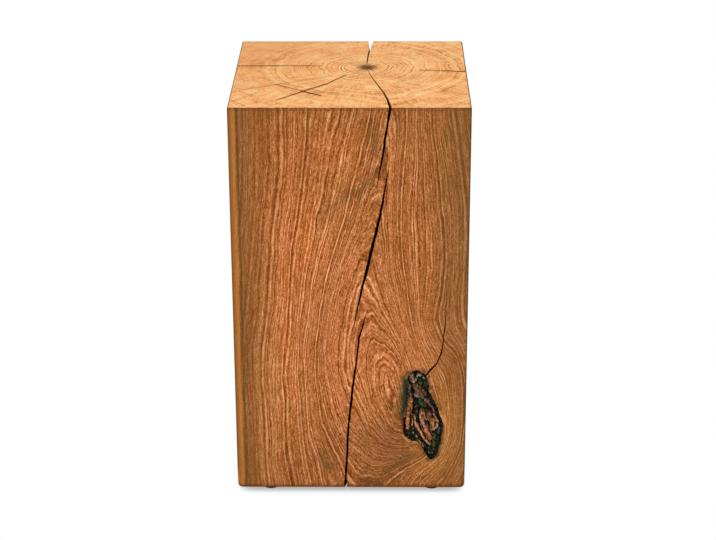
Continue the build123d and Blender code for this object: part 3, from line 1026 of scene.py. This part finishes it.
wood, dark, knot = wood_material(), check_material(), knot_material()
block = rounded_block(wood)
cut(block, knot_cutter(knot))
for number, stations in enumerate(FRONT_CHECKS):
    cut(block, upright_crevice(f"front_{number}", stations, FRONT, dark, 50 + 10 * number, bow=2.4))
cut(block, upright_crevice("back", BACK_CHECK, BACK, dark, 90, flare=5.0, core=0.22))
for number, line in enumerate(HAIRLINES):
    seed = 110 + 10 * number
    cut(block, line_crevice(f"top_{number}", line, on_top, (0, 0, -1), HAIRLINE_DEPTH, dark, seed))
cut(block, line_crevice("knot_check", KNOT_CHECK, on_front, (0, 1, 0), KNOT_CHECK_DEPTH, dark, 160))

mesh = block.data
where = np.zeros(len(mesh.vertices) * 3)
mesh.vertices.foreach_get("co", where)
where = where.reshape(-1, 3) / MM
_, tint = knot_floor(where[:, 0] - KNOT_X, where[:, 2] - BASE - KNOT_H)
layer = mesh.color_attributes.new("knot_tint", "FLOAT_COLOR", "POINT")
layer.data.foreach_set("color", np.c_[tint, np.ones(len(tint))].astype(np.float32).ravel())
mesh.shade_smooth()
mesh.set_sharp_from_angle(angle=math.radians(SHARP_ANGLE))

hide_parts("block")
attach(block, "root")

plastic, steel = plastic_material(), steel_material()
for name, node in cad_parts.items():
    if name.startswith(("glide", "nail")):
        node.data.materials.clear()
        node.data.materials.append(plastic if name.startswith("glide") else steel)

# ---------------------------------------------------------------- floor, light and camera


def floor_material():
    """White paper. What the camera sees of the shadow is drawn from how closed in each place is."""
    g = Graph("white_floor")
    tree = g.tree
    tree.nodes.remove(g.shader)
    closeness = g.node("ShaderNodeAmbientOcclusion", samples=24)
    closeness.inputs["Distance"].default_value = FLOOR_SHADOW_REACH
    glow = g.node("ShaderNodeEmission")
    g.plug(glow.inputs["Color"], g.ramp(Term(g, closeness.outputs["AO"]), FLOOR_SHADOW))
    glow.inputs["Strength"].default_value = 1.0
    plain = g.node("ShaderNodeBsdfDiffuse")
    plain.inputs["Color"].default_value = (0.9, 0.9, 0.9, 1)
    mixed = g.node("ShaderNodeMixShader")
    tree.links.new(g.node("ShaderNodeLightPath").outputs["Is Camera Ray"], mixed.inputs[0])
    tree.links.new(plain.outputs[0], mixed.inputs[1])
    tree.links.new(glow.outputs[0], mixed.inputs[2])
    out = next(n for n in tree.nodes if n.type == "OUTPUT_MATERIAL")
    tree.links.new(mixed.outputs[0], out.inputs["Surface"])
    return g.material


reach = FLOOR_HALF
corners = [(-reach, -reach, 0), (reach, -reach, 0), (reach, reach, 0), (-reach, reach, 0)]
floor = new_object("floor", corners, [[0, 1, 2, 3]], floor_material())

world = bpy.data.worlds.new("white_room")
bpy.context.scene.world = world
world.use_nodes = True
sky = world.node_tree.nodes["Background"]
seen = world.node_tree.nodes.new("ShaderNodeBackground")
pick = world.node_tree.nodes.new("ShaderNodeMixShader")
ray = world.node_tree.nodes.new("ShaderNodeLightPath")
sky.inputs["Color"].default_value = SKY_COLOUR
sky.inputs["Strength"].default_value = SKY_STRENGTH
seen.inputs["Color"].default_value = (1, 1, 1, 1)
seen.inputs["Strength"].default_value = BACKDROP_STRENGTH
world.node_tree.links.new(ray.outputs["Is Camera Ray"], pick.inputs[0])
world.node_tree.links.new(sky.outputs[0], pick.inputs[1])
world.node_tree.links.new(seen.outputs[0], pick.inputs[2])
world.node_tree.links.new(pick.outputs[0], world.node_tree.nodes["World Output"].inputs["Surface"])


def lamp(name, towards, strength, softness):
    """A sun that shines from the direction towards."""
    light = bpy.data.lights.new(name, "SUN")
    light.energy, light.angle = strength, math.radians(softness)
    made = bpy.data.objects.new(name, light)
    bpy.context.scene.collection.objects.link(made)
    aim = np.array(towards, float)
    z = aim / np.linalg.norm(aim)
    x = np.cross((0.0, 0.0, 1.0), z)
    x /= np.linalg.norm(x)
    y = np.cross(z, x)
    made.matrix_world = Matrix([[x[i], y[i], z[i], 0] for i in range(3)] + [[0, 0, 0, 1]])
    return made


lamp("key", KEY_DIRECTION, KEY_STRENGTH, KEY_SOFTNESS)

camera = bpy.data.objects.new("camera", bpy.data.cameras.new("camera"))
bpy.context.scene.collection.objects.link(camera)
camera.data.lens = LENS
camera.data.sensor_width = 36.0
camera.matrix_world = Matrix(
    [[VIEW_RIGHT[i], -VIEW_DOWN[i], -VIEW_AHEAD[i], EYE[i]] for i in range(3)] + [[0, 0, 0, 1]]
)
bpy.context.scene.camera = camera
bpy.context.scene.view_settings.view_transform = "Standard"

bpy.context.view_layer.update()
